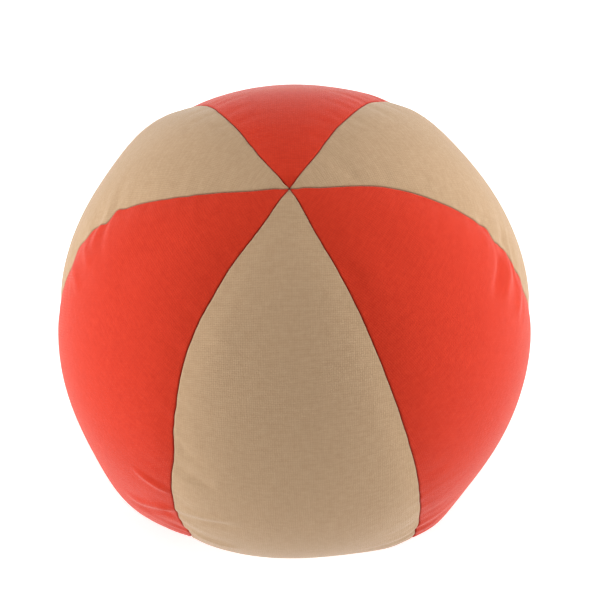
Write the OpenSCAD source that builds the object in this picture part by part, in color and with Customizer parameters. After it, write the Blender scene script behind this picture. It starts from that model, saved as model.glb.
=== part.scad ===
// Sewn juggling ball: six cotton gores over a loose millet fill.
// Origin in the middle of the patch the ball rests on, +Z through both poles, a tan gore facing -Y.
// The gores are sewn as two halves of three, and one round seam over both poles joins the halves.
// That round seam is machined except for a filling gap, which is closed by hand.

/* [Ball] */
// Diameter of the ball at its equator
ball_d = 68; // [60:1:76]
// Diameter of the flat patch that the fill settles into under the ball
rest_d = 26; // [16:1:32]

/* [Cloth] */
// Thickness of the cotton cloth
cloth_t = 0.4; // [0.3:0.05:0.6]
// Width of the seam allowance turned to the inside
allowance_w = 4.5; // [3.5:0.25:6]
// Distance from the poles' axis at which the short seams' allowances are trimmed off
pole_trim = 5; // [3.5:0.25:7]
// Distance from the poles' axis at which the round seam's allowances end, in the gores' tips
tip_trim = 1; // [0.8:0.1:2]

/* [Machine sewing] */
// Diameter of the sewing thread
thread_d = 0.28; // [0.22:0.02:0.36]
// Diameter of the thread where it is drawn tight through the cloth
lock_d = 0.18; // [0.1:0.02:0.2]
// Length of one machine stitch
stitch_l = 2.5; // [2:0.25:4]
// Distance from the inner face of the cloth to the line of stitches
stitch_drop = 0.5; // [0.3:0.05:0.8]
// Room around the thread in each needle hole
hole_slack = 0.04; // [0.02:0.01:0.1]

/* [Hand-closed gap] */
// Length of the filling gap along the round seam, halfway between the equator and the rest patch
gap_l = 28; // [20:1:32]
// Length of one hand stitch
hand_stitch_l = 3; // [2:0.25:4]

/* [Fill] */
// Room between the fill and the turned-in edges
fill_slack = 0.15; // [0.05:0.05:0.4]

/* [Hidden] */

GORES = 6;
gore_angle = 360 / GORES;
front = -90;            // direction that the first gore faces
first_seam = front + gore_angle / 2;
// Seams are counted from the front gore's right edge, turning the way the gores are counted.
FRONT_RIGHT = 0;
RIGHT = 1;
BACK_RIGHT = 2;
BACK_LEFT = 3;
LEFT = 4;
FRONT_LEFT = 5;
// A seam's two faces: the clockwise one and the anticlockwise one, seen from above.
CW = -1;
CCW = 1;

RED = [0.85, 0.2, 0.14];
TAN = [0.74, 0.62, 0.48];
TAN_THREAD = [0.7, 0.58, 0.43];
RED_THREAD = [0.75, 0.16, 0.11];
MILLET = [0.83, 0.68, 0.38];

ball_r = ball_d / 2;
centre_z = sqrt(ball_r * ball_r - rest_d * rest_d / 4);
fin_lap = cloth_t / 2;  // how far a turned-in edge runs up into the outer face that it belongs to
over_cut = 1;           // how far a cut reaches past the face that it opens
bend_swell = 1.25;      // width of the thread's bend, in thread diameters

// The line of stitches: an arc round the ball's centre, then a straight run above the rest patch.
stitch_r = ball_r - cloth_t - stitch_drop;
stitch_z = cloth_t + stitch_drop;
low_angle = -asin((centre_z - stitch_z) / stitch_r);
low_x = stitch_r * cos(low_angle);
trim_angle = acos(pole_trim / stitch_r);
thread_y = cloth_t + thread_d / 2;

// The hand-closed gap, as angles from the equator on the left side.
gap_half = gap_l / ball_r * 90 / PI;
gap_top = low_angle / 2 + gap_half;
gap_low = low_angle / 2 - gap_half;

$fn = 96;
thread_fn = 16;

// ---- Where the stitches are ----

function arc_l(from, to) = stitch_r * (to - from) * PI / 180;

// The middles of the stitches of about length l between two angles
function arc_stitches(from, to, l) =
    let (n = max(1, round(arc_l(from, to) / l)))
    [for (i = [0:n - 1]) from + (i + 0.5) * (to - from) / n];

// The middles of the stitches on the straight run between two distances from the axis
function flat_stitches(from, to) =
    let (n = max(1, round((to - from) / stitch_l)))
    [for (i = [0:n - 1]) from + (i + 0.5) * (to - from) / n];

function is_round(seam) = seam == RIGHT || seam == LEFT;

// Where a seam's machine stitching ends, next to the axis, below and above
function inner_x(seam) = is_round(seam) ? tip_trim : pole_trim;
function top_angle(seam) = is_round(seam) ? 90 : trim_angle;

// A seam's machine needle holes on its arc: the left seam is open at the filling gap
function machine_angles(seam) =
    seam == LEFT
        ? concat(arc_stitches(low_angle, gap_low, stitch_l), arc_stitches(gap_top, 90, stitch_l))
        : arc_stitches(low_angle, top_angle(seam), stitch_l);

// The ends of the hand stitches, which step from one edge to the other across the gap
hand_count = round(arc_l(gap_low, gap_top) / hand_stitch_l);
hand_step = (gap_top - gap_low) / hand_count;
hand_angles = [for (i = [0:hand_count - 1]) gap_low + (i + 0.5) * hand_step];

function needle_angles(seam) = seam == LEFT ? concat(machine_angles(seam), hand_angles) : machine_angles(seam);

function on_arc(angle) = [stitch_r * cos(angle), centre_z + stitch_r * sin(angle)];

// ---- Shared shapes ----

// The ball's outline through both poles, drawn in by inset
module outline(inset) {
    intersection() {
        translate([0, centre_z]) circle(r = ball_r - inset);
        translate([-ball_d, inset]) square([2 * ball_d, 2 * ball_d]);
    }
}

// A strip that follows the outline from one inset to another, kept to one side of the axis from x_min out
module strip(from, to, x_min) {
    intersection() {
        difference() {
            outline(from);
            outline(to);
        }
        translate([x_min, -ball_d]) square([2 * ball_d, 3 * ball_d]);
    }
}

// Turns a seam's own frame (x outwards, z up, y across the seam) to its place round the ball
module at_seam(seam) {
    rotate(first_seam + seam * gore_angle) children();
}

// Stands a flat shape in the seam's plane, with thickness t towards one side
module stand(side, t) {
    translate([0, side == CCW ? t : 0, 0]) rotate([90, 0, 0]) linear_extrude(t) children();
}

// A short round pin across the seam from its middle plane, at a point of the seam's plane
module cross_pin(point, side, l, d) {
    translate([point[0], 0, point[1]]) rotate([-90 * side, 0, 0]) cylinder(h = l, d = d, $fn = thread_fn);
}

// ---- Gores ----

// The sixth of space that one gore fills, with its point on the axis
module gore_wedge() {
    reach = ball_d / cos(gore_angle / 2);
    linear_extrude(2 * ball_d) polygon([
        [0, 0],
        [reach * cos(gore_angle / 2), -reach * sin(gore_angle / 2)],
        [reach * cos(gore_angle / 2), reach * sin(gore_angle / 2)]
    ]);
}

// A round hole across the seam's plane
module needle_hole(point) {
    translate([point[0], 0, point[1]]) rotate([90, 0, 0])
        cylinder(h = 2 * (cloth_t + over_cut), d = lock_d + hole_slack, center = true, $fn = thread_fn);
}

// The edge of a gore that is turned in at a seam, with its needle holes. It starts past the seam's plane,
// because the gore's wedge trims it there.
module turned_edge(seam, side) {
    at_seam(seam) difference() {
        translate([0, -side * over_cut, 0])
            stand(side, cloth_t + over_cut) strip(fin_lap, cloth_t + allowance_w, inner_x(seam));
        for (a = needle_angles(seam)) needle_hole(on_arc(a));
        for (x = flat_stitches(inner_x(seam), low_x)) needle_hole([x, stitch_z]);
    }
}

// One gore: k counts from the front, and its edges lie on seams k - 1 and k
module gore(k) {
    middle = front + k * gore_angle;
    color(k % 2 == 0 ? TAN : RED) intersection() {
        rotate(middle) gore_wedge();
        union() {
            rotate(middle + 180) rotate_extrude() strip(0, cloth_t, 0);
            turned_edge((k + GORES - 1) % GORES, CCW);
            turned_edge(k, CW);
        }
    }
}

// ---- Machine threads ----

// Thread along the stitch line from one angle to another, on one side of a seam
module thread_arc(from, to, side) {
    translate([0, side * thread_y, centre_z])
        rotate([90, 0, 0]) rotate(from)
            rotate_extrude(angle = to - from) translate([stitch_r, 0]) circle(d = thread_d, $fn = thread_fn);
}

// Thread along the straight run above the rest patch
module thread_flat(from, to, side) {
    translate([from, side * thread_y, stitch_z])
        rotate([0, 90, 0]) cylinder(h = to - from, d = thread_d, $fn = thread_fn);
}

// The bend where the thread turns from the arc to the straight run
module thread_bend(side, x) {
    translate([x, side * thread_y, stitch_z]) sphere(d = bend_swell * thread_d, $fn = 2 * thread_fn);
}

// The ends of the thread that pass into the cloth as far as the middle of the seam
module machine_locks(seam, side) {
    for (a = machine_angles(seam)) cross_pin(on_arc(a), side, thread_y, lock_d);
    for (x = flat_stitches(inner_x(seam), low_x)) cross_pin([x, stitch_z], side, thread_y, lock_d);
}

// One thread of a short seam, from pole to pole
module short_seam_thread(seam, side, tint) {
    color(tint) at_seam(seam) union() {
        thread_arc(low_angle, trim_angle, side);
        thread_bend(side, low_x);
        thread_flat(pole_trim, low_x, side);
        machine_locks(seam, side);
    }
}

// One thread of the round seam: from the top of the gap over the top, down the right and under to the gap
module round_seam_thread(side, tint) {
    color(tint) union() {
        at_seam(RIGHT) {
            thread_arc(low_angle, 180 - gap_top, side);
            thread_bend(side, low_x);
            thread_flat(-low_x, low_x, side);
            thread_bend(side, -low_x);
            thread_arc(180 - gap_low, 180 - low_angle, side);
            machine_locks(RIGHT, side);
        }
        at_seam(LEFT) machine_locks(LEFT, -side);
    }
}

// ---- Hand closing ----

// One thread that runs inside one edge, steps across, runs inside the other edge, and so on
module closing_thread() {
    color(TAN_THREAD) at_seam(LEFT) union() {
        for (i = [0:hand_count - 2]) thread_arc(hand_angles[i], hand_angles[i + 1], i % 2 == 0 ? CW : CCW);
        for (a = hand_angles) {
            cross_pin(on_arc(a), CW, thread_y, lock_d);
            cross_pin(on_arc(a), CCW, thread_y, lock_d);
        }
    }
}

// ---- Fill ----

// The room that a seam's turned-in edges and threads take out of the fill
module seam_slot(seam) {
    half_w = cloth_t + thread_d + fill_slack;
    depth = cloth_t + allowance_w + fill_slack;
    x_min = is_round(seam) ? -ball_d : pole_trim - fill_slack;
    at_seam(seam) translate([0, half_w, 0]) rotate([90, 0, 0])
        linear_extrude(2 * half_w) strip(-over_cut, depth, x_min);
}

module millet_fill() {
    color(MILLET) difference() {
        rotate_extrude() intersection() {
            outline(cloth_t);
            square([ball_d, 2 * ball_d]);
        }
        seam_slot(RIGHT);
        for (seam = [FRONT_RIGHT, BACK_RIGHT, BACK_LEFT, FRONT_LEFT]) seam_slot(seam);
    }
}

gore(0);  // front_tan_gore
gore(1);  // right_front_red_gore
gore(2);  // right_back_tan_gore
gore(3);  // back_red_gore
gore(4);  // left_back_tan_gore
gore(5);  // left_front_red_gore
short_seam_thread(FRONT_RIGHT, CW, TAN_THREAD);  // front_right_needle_thread
short_seam_thread(FRONT_RIGHT, CCW, RED_THREAD);  // front_right_bobbin_thread
short_seam_thread(BACK_RIGHT, CW, TAN_THREAD);  // back_right_needle_thread
short_seam_thread(BACK_RIGHT, CCW, RED_THREAD);  // back_right_bobbin_thread
short_seam_thread(BACK_LEFT, CCW, TAN_THREAD);  // back_left_needle_thread
short_seam_thread(BACK_LEFT, CW, RED_THREAD);  // back_left_bobbin_thread
short_seam_thread(FRONT_LEFT, CCW, TAN_THREAD);  // front_left_needle_thread
short_seam_thread(FRONT_LEFT, CW, RED_THREAD);  // front_left_bobbin_thread
round_seam_thread(CW, TAN_THREAD);  // round_seam_needle_thread
round_seam_thread(CCW, RED_THREAD);  // round_seam_bobbin_thread
closing_thread();
millet_fill();
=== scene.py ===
"""A sewn juggling ball: six cotton gores, the threads that join them, and the millet inside.

Everything is in metres, in the ball's own frame: the origin is in the middle of the patch that the ball
rests on, +Z runs up through both poles, and the front tan gore faces -Y.
"""
import logging
import math
from dataclasses import dataclass, field
from enum import Enum

import bpy
import numpy as np
from mathutils import Matrix, Vector


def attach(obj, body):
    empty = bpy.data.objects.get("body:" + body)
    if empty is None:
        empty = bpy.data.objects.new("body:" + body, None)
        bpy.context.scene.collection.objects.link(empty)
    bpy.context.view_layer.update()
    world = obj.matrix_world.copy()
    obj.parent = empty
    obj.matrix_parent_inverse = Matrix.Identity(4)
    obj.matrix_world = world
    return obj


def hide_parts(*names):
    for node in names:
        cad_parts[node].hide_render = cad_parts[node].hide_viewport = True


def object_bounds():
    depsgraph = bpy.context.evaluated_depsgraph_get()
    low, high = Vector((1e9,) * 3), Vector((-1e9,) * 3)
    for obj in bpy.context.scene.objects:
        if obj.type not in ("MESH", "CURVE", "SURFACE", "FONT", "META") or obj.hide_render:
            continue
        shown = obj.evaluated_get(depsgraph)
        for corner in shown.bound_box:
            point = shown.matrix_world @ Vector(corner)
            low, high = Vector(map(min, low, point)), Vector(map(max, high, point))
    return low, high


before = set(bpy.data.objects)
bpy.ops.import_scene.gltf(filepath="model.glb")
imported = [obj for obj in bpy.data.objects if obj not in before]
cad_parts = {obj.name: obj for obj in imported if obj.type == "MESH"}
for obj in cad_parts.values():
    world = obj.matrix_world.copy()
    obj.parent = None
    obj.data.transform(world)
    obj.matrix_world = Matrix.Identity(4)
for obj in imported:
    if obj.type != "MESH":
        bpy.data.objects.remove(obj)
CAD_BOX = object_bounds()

log = logging.getLogger("juggling_ball")

MM = 0.001
GORES = 6
GORE_ANGLE = math.tau / GORES
FRONT = -math.pi / 2                # direction that the front gore faces
FIRST_SEAM = FRONT + GORE_ANGLE / 2  # seam on the front gore's right
BODY = "root"
FILL_PIECE = "millet_grains"
POINTS_PER_STITCH = 14.0
STITCH_STEEPNESS = 2.2


class Cotton(Enum):
    """The two cloths of the cover."""

    RED = "red_cotton"
    TAN = "tan_cotton"


class Yarn(Enum):
    """The two sewing threads."""

    TAN = "tan_thread"
    RED = "red_thread"


class Side(Enum):
    """A seam's two faces, seen from above."""

    CLOCKWISE = -1
    ANTICLOCKWISE = 1


# ---------------------------------------------------------------------------------------------------------
# The form of the ball
# ---------------------------------------------------------------------------------------------------------


@dataclass(frozen=True)
class Lump:
    """A place where the settled fill pushes the cover out, or leaves it slack where height is negative.

    Azimuth is in degrees from the front towards the right, latitude in degrees above the equator, height in
    metres and spread in degrees.
    """

    azimuth: float
    latitude: float
    height: float
    spread: float


@dataclass(frozen=True)
class Sway:
    """A wander of a hand-guided seam to the anticlockwise side, at a latitude, with its spread in degrees."""

    latitude: float
    offset: float
    spread: float


@dataclass(frozen=True)
class Gather:
    """A stretch of seam gathered into puckers, with its height and its spread in degrees."""

    latitude: float
    height: float
    spread: float


@dataclass(frozen=True)
class Crease:
    """A soft ridge in the cloth, or a groove where height is negative, along a line between two places.

    The places are azimuth from the front towards the right and latitude, in degrees. Height and spread are
    metres.
    """

    start: tuple[float, float]
    end: tuple[float, float]
    height: float
    spread: float


def bell(x: np.ndarray, spread: float) -> np.ndarray:
    """A smooth bump of height one.

    Args:
        x: Distance from the bump's middle.
        spread: Distance at which the bump has fallen to about a third.

    Returns:
        The bump's height at each distance.
    """
    return np.exp(-((x / spread) ** 2))


def smooth_step(x: np.ndarray, start: float, end: float) -> np.ndarray:
    """Rises smoothly from nought at start to one at end."""
    share = np.clip((x - start) / (end - start), 0.0, 1.0)
    return share * share * (3.0 - 2.0 * share)


@dataclass
class Seam:
    """One seam between two gores, from pole to pole."""

    name: str
    number: int
    sways: tuple[Sway, ...]
    gathers: tuple[Gather, ...]
    seed: float
    trim: float
    slant: float
    quiver: float = 0.02 * MM
    quiver_share: float = 0.8
    wave: float = 4.4 * MM

    @property
    def azimuth(self) -> float:
        """Direction of the seam where it doesn't wander."""
        return FIRST_SEAM + self.number * GORE_ANGLE

    def ripple(self, run: np.ndarray) -> np.ndarray:
        """The puckers' wave along the seam.

        Args:
            run: Distance along the seam from the upper pole.

        Returns:
            Height between about -1 and 1.
        """
        turn = math.tau * run / self.wave
        slow = 1.5 * np.sin(turn * 0.23 + 2.1 * self.seed) + 1.1 * np.sin(turn * 0.41 + self.seed)
        swell = 0.65 + 0.35 * np.sin(turn * 0.31 + 5.0 * self.seed)
        fast = np.sin(turn + slow + self.seed)
        return swell * (0.72 * fast + 0.28 * np.sin(1.73 * turn - 1.3 * slow + 4.0 * self.seed))

    def gathering(self, polar: np.ndarray) -> np.ndarray:
        """Height of the puckers along the seam, in metres.

        Args:
            polar: Angle from the upper pole.

        Returns:
            Height in metres.
        """
        latitude = 90.0 - np.degrees(polar)
        total = np.full_like(latitude, 0.02 * MM)
        for g in self.gathers:
            total = total + g.height * bell(latitude - g.latitude, g.spread)
        return total * smooth_step(np.sin(polar), 0.05, 0.35)

    def azimuth_at(self, polar: np.ndarray, radius: float) -> np.ndarray:
        """Direction of the seam at each polar angle, with its wander.

        Args:
            polar: Angle from the upper pole.
            radius: The ball's radius.

        Returns:
            Azimuth in radians.
        """
        latitude = 90.0 - np.degrees(polar)
        aside = sum((s.offset * bell(latitude - s.latitude, s.spread) for s in self.sways), 0.0 * latitude)
        quiver = self.quiver + self.quiver_share * self.gathering(polar)
        aside = aside + quiver * self.ripple(radius * polar + 0.25 * self.wave)
        hold = smooth_step(np.sin(polar), 0.0, 0.035)
        return self.azimuth + aside * hold / (radius * np.maximum(np.sin(polar), 0.02))


@dataclass
class BallForm:
    """The outer face of the stuffed cover, as a distance from the ball's centre in each direction."""

    radius: float
    centre_z: float
    seams: tuple[Seam, ...]
    lumps: tuple[Lump, ...]
    folds: tuple[Crease, ...]
    settling: float = 0.33 * MM
    floor_softness: float = 0.5 * MM
    valley_depth: float = 0.16 * MM
    valley_width: float = 2.0 * MM
    pucker_reach: float = 4.6 * MM
    dimple_depth: float = 0.7 * MM
    dimple_width: float = 1.3 * MM
    crown_right: float = 0.41 * MM
    crown_forward: float = 0.12 * MM
    crown_spread: float = 9.0 * MM
    slack: "CoverCloth | None" = None

    def place(self, polar: np.ndarray, azimuth: np.ndarray, distance: np.ndarray) -> np.ndarray:
        """Points at a distance from the centre, with the sewn crown drifted a little to one side.

        Args:
            polar: Angle from the upper pole.
            azimuth: Direction round the ball.
            distance: Distance from the centre.

        Returns:
            Points, in metres.
        """
        points = self.centre + distance[..., None] * self.towards(polar, azimuth)
        drift = bell(self.radius * polar, self.crown_spread)
        points[..., 0] += self.crown_right * drift
        points[..., 1] -= self.crown_forward * drift
        return points

    @property
    def centre(self) -> np.ndarray:
        """Centre of the ball."""
        return np.array([0.0, 0.0, self.centre_z])

    def towards(self, polar: np.ndarray, azimuth: np.ndarray) -> np.ndarray:
        """Unit vectors from the centre."""
        flat = np.sin(polar)
        return np.stack([flat * np.cos(azimuth), flat * np.sin(azimuth), np.cos(polar)], axis=-1)

    def lumpiness(self, polar: np.ndarray, azimuth: np.ndarray) -> np.ndarray:
        """How far the settled fill pushes the cover out, in metres.

        Args:
            polar: Angle from the upper pole.
            azimuth: Direction round the ball.

        Returns:
            Height in metres.
        """
        way = self.towards(polar, azimuth)
        total = np.full(np.shape(polar), -self.settling)
        for lump in self.lumps:
            lump_polar = np.radians(90.0 - lump.latitude)
            middle = self.towards(lump_polar, FRONT + np.radians(lump.azimuth))
            apart = np.degrees(np.arccos(np.clip(way @ middle, -1.0, 1.0)))
            total += lump.height * bell(apart, lump.spread)
        return total

    def from_seam(self, seam: Seam, polar: np.ndarray, azimuth: np.ndarray) -> np.ndarray:
        """Distance across the cloth from a seam, positive on its anticlockwise side.

        Args:
            seam: The seam.
            polar: Angle from the upper pole.
            azimuth: Direction round the ball.

        Returns:
            Distance in metres.
        """
        turn = azimuth - seam.azimuth_at(polar, self.radius)
        turn = (turn + math.pi) % math.tau - math.pi
        return turn * self.radius * np.sin(polar)

    def puckers(self, polar: np.ndarray, azimuth: np.ndarray) -> np.ndarray:
        """Height of the puckers and of the shallow valley along every seam, in metres.

        Args:
            polar: Angle from the upper pole.
            azimuth: Direction round the ball.

        Returns:
            Height in metres.
        """
        total = np.zeros(np.shape(polar))
        for seam in self.seams:
            aside = self.from_seam(seam, polar, azimuth)
            run = self.radius * polar - seam.slant * aside * np.exp(-np.abs(aside) / self.pucker_reach)
            fade = np.exp(-((np.abs(aside) / self.pucker_reach) ** 1.4))
            total += seam.gathering(polar) * seam.ripple(run) * fade
            valley = self.valley_depth * bell(aside, self.valley_width)
            total -= valley * smooth_step(np.sin(polar), 0.03, 0.3)
        return total

    def creases(self, polar: np.ndarray, azimuth: np.ndarray) -> np.ndarray:
        """Height of the single ridges and grooves, in metres.

        Args:
            polar: Angle from the upper pole.
            azimuth: Direction round the ball.

        Returns:
            Height in metres.
        """
        way = self.towards(polar, azimuth)
        total = np.zeros(np.shape(polar))
        for fold in self.folds:
            ends = []
            for turn, latitude in (fold.start, fold.end):
                ends.append(self.towards(np.radians(90.0 - latitude), FRONT + np.radians(turn)))
            along = ends[1] - ends[0]
            share = (way - ends[0]) @ along / (along @ along)
            nearest = ends[0] + np.clip(share, 0.0, 1.0)[..., None] * along
            apart = self.radius * np.linalg.norm(way - nearest, axis=-1)
            fade = smooth_step(share, -0.15, 0.35) * smooth_step(-share, -1.15, -0.65)
            total += fold.height * bell(apart, fold.spread) * fade
        return total

    def dimples(self, polar: np.ndarray) -> np.ndarray:
        """Depth of the small hollows where the gores' tips meet, in metres."""
        run = self.radius * np.minimum(polar, math.pi - polar)
        return -self.dimple_depth * bell(run, self.dimple_width)

    def plain_distance(self, polar: np.ndarray, azimuth: np.ndarray) -> np.ndarray:
        """Distance to the outer face before it is sewn and creased."""
        return self.on_floor(polar, self.radius + self.lumpiness(polar, azimuth))

    def on_floor(self, polar: np.ndarray, distance: np.ndarray) -> np.ndarray:
        """Keeps the face above what the ball rests on, with a soft turn at the patch's edge.

        Args:
            polar: Angle from the upper pole.
            distance: Distance from the centre before the floor is met.

        Returns:
            Distance from the centre, no further than the floor.
        """
        down = np.maximum(-np.cos(polar), 1e-6)
        to_floor = np.where(down > 0.05, self.centre_z / down, 10.0 * self.radius)
        k = self.floor_softness
        low = np.minimum(distance, to_floor)
        return low - k * np.log(np.exp(-(distance - low) / k) + np.exp(-(to_floor - low) / k))

    def distance(self, polar: np.ndarray, azimuth: np.ndarray, gore: int, share: np.ndarray) -> np.ndarray:
        """Distance from the centre to the finished outer face.

        Args:
            polar: Angle from the upper pole.
            azimuth: Direction round the ball.
            gore: Number of the gore that the points are on.
            share: Where the points lie across the gore, from nought to one.

        Returns:
            Distance in metres.
        """
        out = self.radius + self.lumpiness(polar, azimuth) + self.puckers(polar, azimuth)
        out = out + self.dimples(polar) + self.creases(polar, azimuth)
        if self.slack is not None:
            out = out + self.slack.swell(polar, gore, share)
        return self.on_floor(polar, out)


# ---------------------------------------------------------------------------------------------------------
# The stretched cover, found by a cloth simulation
# ---------------------------------------------------------------------------------------------------------


@dataclass
class CoverCloth:
    """A coarse cover of all six gores that is blown up against its seams, to find how the cloth swells.

    The seams are drawn in and the cloth between them is cut a little full, as on the sewn cover.
    """

    form: BallForm
    rows: int = 84
    columns: int = 18
    enlarge: float = 20.0
    frames: int = 22
    pressure: float = 9.0
    seam_shrink: float = 0.045
    cloth_fullness: float = -0.006
    cap: float = 0.5 * MM
    gain: float = 0.2
    grid: np.ndarray = field(default_factory=lambda: np.zeros((2, GORES * 2)))

    def across(self, gore: int, share: np.ndarray, polar: np.ndarray) -> np.ndarray:
        """Azimuth at a share of the way across a gore.

        Args:
            gore: The gore's number.
            share: Share of the way across the gore, from nought to one.
            polar: Angle from the upper pole.

        Returns:
            Azimuth in radians.
        """
        left = self.form.seams[(gore - 1) % GORES]
        right = self.form.seams[gore]
        a = left.azimuth_at(polar, self.form.radius)
        b = right.azimuth_at(polar, self.form.radius)
        b = a + (b - a) % math.tau
        return a + share * (b - a)

    def polar_rows(self) -> np.ndarray:
        """Polar angles of the rows, poles left out."""
        return np.linspace(0.0, math.pi, self.rows + 2)[1:-1]

    def start_points(self) -> np.ndarray:
        """Points of the cover before it is blown up, row by row, then the two poles.

        Returns:
            Points, in metres.
        """
        polar = self.polar_rows()
        sheets = []
        for gore in range(GORES):
            share = np.arange(self.columns) / self.columns
            p, s = np.meshgrid(polar, share, indexing="ij")
            azimuth = self.across(gore, s, p)
            reach = self.form.plain_distance(p, azimuth)
            sheets.append(self.form.centre + reach[..., None] * self.form.towards(p, azimuth))
        body = np.concatenate(sheets, axis=1).reshape(-1, 3)
        top = self.form.centre + np.array([0.0, 0.0, self.form.radius])
        return np.vstack([body, top, np.zeros(3)])

    def faces(self) -> list[tuple[int, ...]]:
        """Quads round the ball and triangles at the poles.

        Returns:
            Vertex numbers of each face.
        """
        wide = GORES * self.columns
        top, bottom = self.rows * wide, self.rows * wide + 1
        out: list[tuple[int, ...]] = []
        for i in range(self.rows - 1):
            for j in range(wide):
                k = (j + 1) % wide
                out.append((i * wide + j, (i + 1) * wide + j, (i + 1) * wide + k, i * wide + k))
        last = (self.rows - 1) * wide
        for j in range(wide):
            k = (j + 1) % wide
            out.append((top, j, k))
            out.append((bottom, last + k, last + j))
        return out

    def blow_up(self) -> None:
        """Runs the simulation and keeps how far each point of the cover moved in or out."""
        start = self.start_points()
        mesh = bpy.data.meshes.new("cover_pattern")
        mesh.from_pydata((start * self.enlarge).tolist(), [], self.faces())
        cover = bpy.data.objects.new("cover_pattern", mesh)
        bpy.context.scene.collection.objects.link(cover)
        wide = GORES * self.columns
        on_seam = [i * wide + g * self.columns for i in range(self.rows) for g in range(GORES)]
        cover.vertex_groups.new(name="seams").add(on_seam, 1.0, "REPLACE")
        rest = [i for i in range(len(start)) if start[i, 2] < 0.4 * MM]
        cover.vertex_groups.new(name="rest_patch").add(rest, 1.0, "REPLACE")
        cloth = cover.modifiers.new("stretch", "CLOTH")
        use = cloth.settings
        use.quality = 6
        use.mass = 0.3
        use.air_damping = 2.0
        use.tension_stiffness = 60.0
        use.compression_stiffness = 20.0
        use.shear_stiffness = 12.0
        use.bending_stiffness = 1.2
        use.use_pressure = True
        use.uniform_pressure_force = self.pressure
        use.effector_weights.gravity = 0.0
        use.vertex_group_mass = "rest_patch"
        use.vertex_group_shrink = "seams"
        use.shrink_min = self.cloth_fullness
        use.shrink_max = self.seam_shrink
        cloth.point_cache.frame_start = 1
        cloth.point_cache.frame_end = self.frames
        scene = bpy.context.scene
        for step in range(1, self.frames + 1):
            scene.frame_set(step)
        settled = cover.evaluated_get(bpy.context.evaluated_depsgraph_get()).to_mesh()
        end = np.empty(len(start) * 3)
        settled.vertices.foreach_get("co", end)
        end = end.reshape(-1, 3) / self.enlarge
        way = start - self.form.centre
        way /= np.linalg.norm(way, axis=1, keepdims=True)
        out = ((end - start) * way).sum(axis=1)[: self.rows * wide].reshape(self.rows, wide)
        log.info("cover cloth moved %.2f to %.2f mm", out.min() / MM, out.max() / MM)
        out = out - out.mean()
        self.grid = self.cap * np.tanh(self.gain * out / self.cap)
        bpy.data.objects.remove(cover)
        bpy.data.meshes.remove(mesh)
        scene.frame_set(1)

    def swell(self, polar: np.ndarray, gore: int, share: np.ndarray) -> np.ndarray:
        """How far the blown-up cover stands out at points of one gore, in metres.

        Args:
            polar: Angle from the upper pole.
            gore: The gore's number.
            share: Share of the way across the gore, from nought to one.

        Returns:
            Height in metres.
        """
        rows, wide = self.grid.shape
        per_gore = wide // GORES
        row = np.clip(polar / math.pi * (rows + 1) - 1.0, 0.0, rows - 1.001)
        column = (gore + np.clip(share, 0.0, 1.0)) * per_gore
        i, j = np.floor(row).astype(int), np.floor(column).astype(int)
        a, b = row - i, column - j
        g = self.grid
        near = g[i, j % wide] * (1 - b) + g[i, (j + 1) % wide] * b
        far = g[i + 1, j % wide] * (1 - b) + g[i + 1, (j + 1) % wide] * b
        return (near * (1 - a) + far * a) * smooth_step(np.sin(polar), 0.0, 0.3)


# ---------------------------------------------------------------------------------------------------------
# Materials
# ---------------------------------------------------------------------------------------------------------


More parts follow.
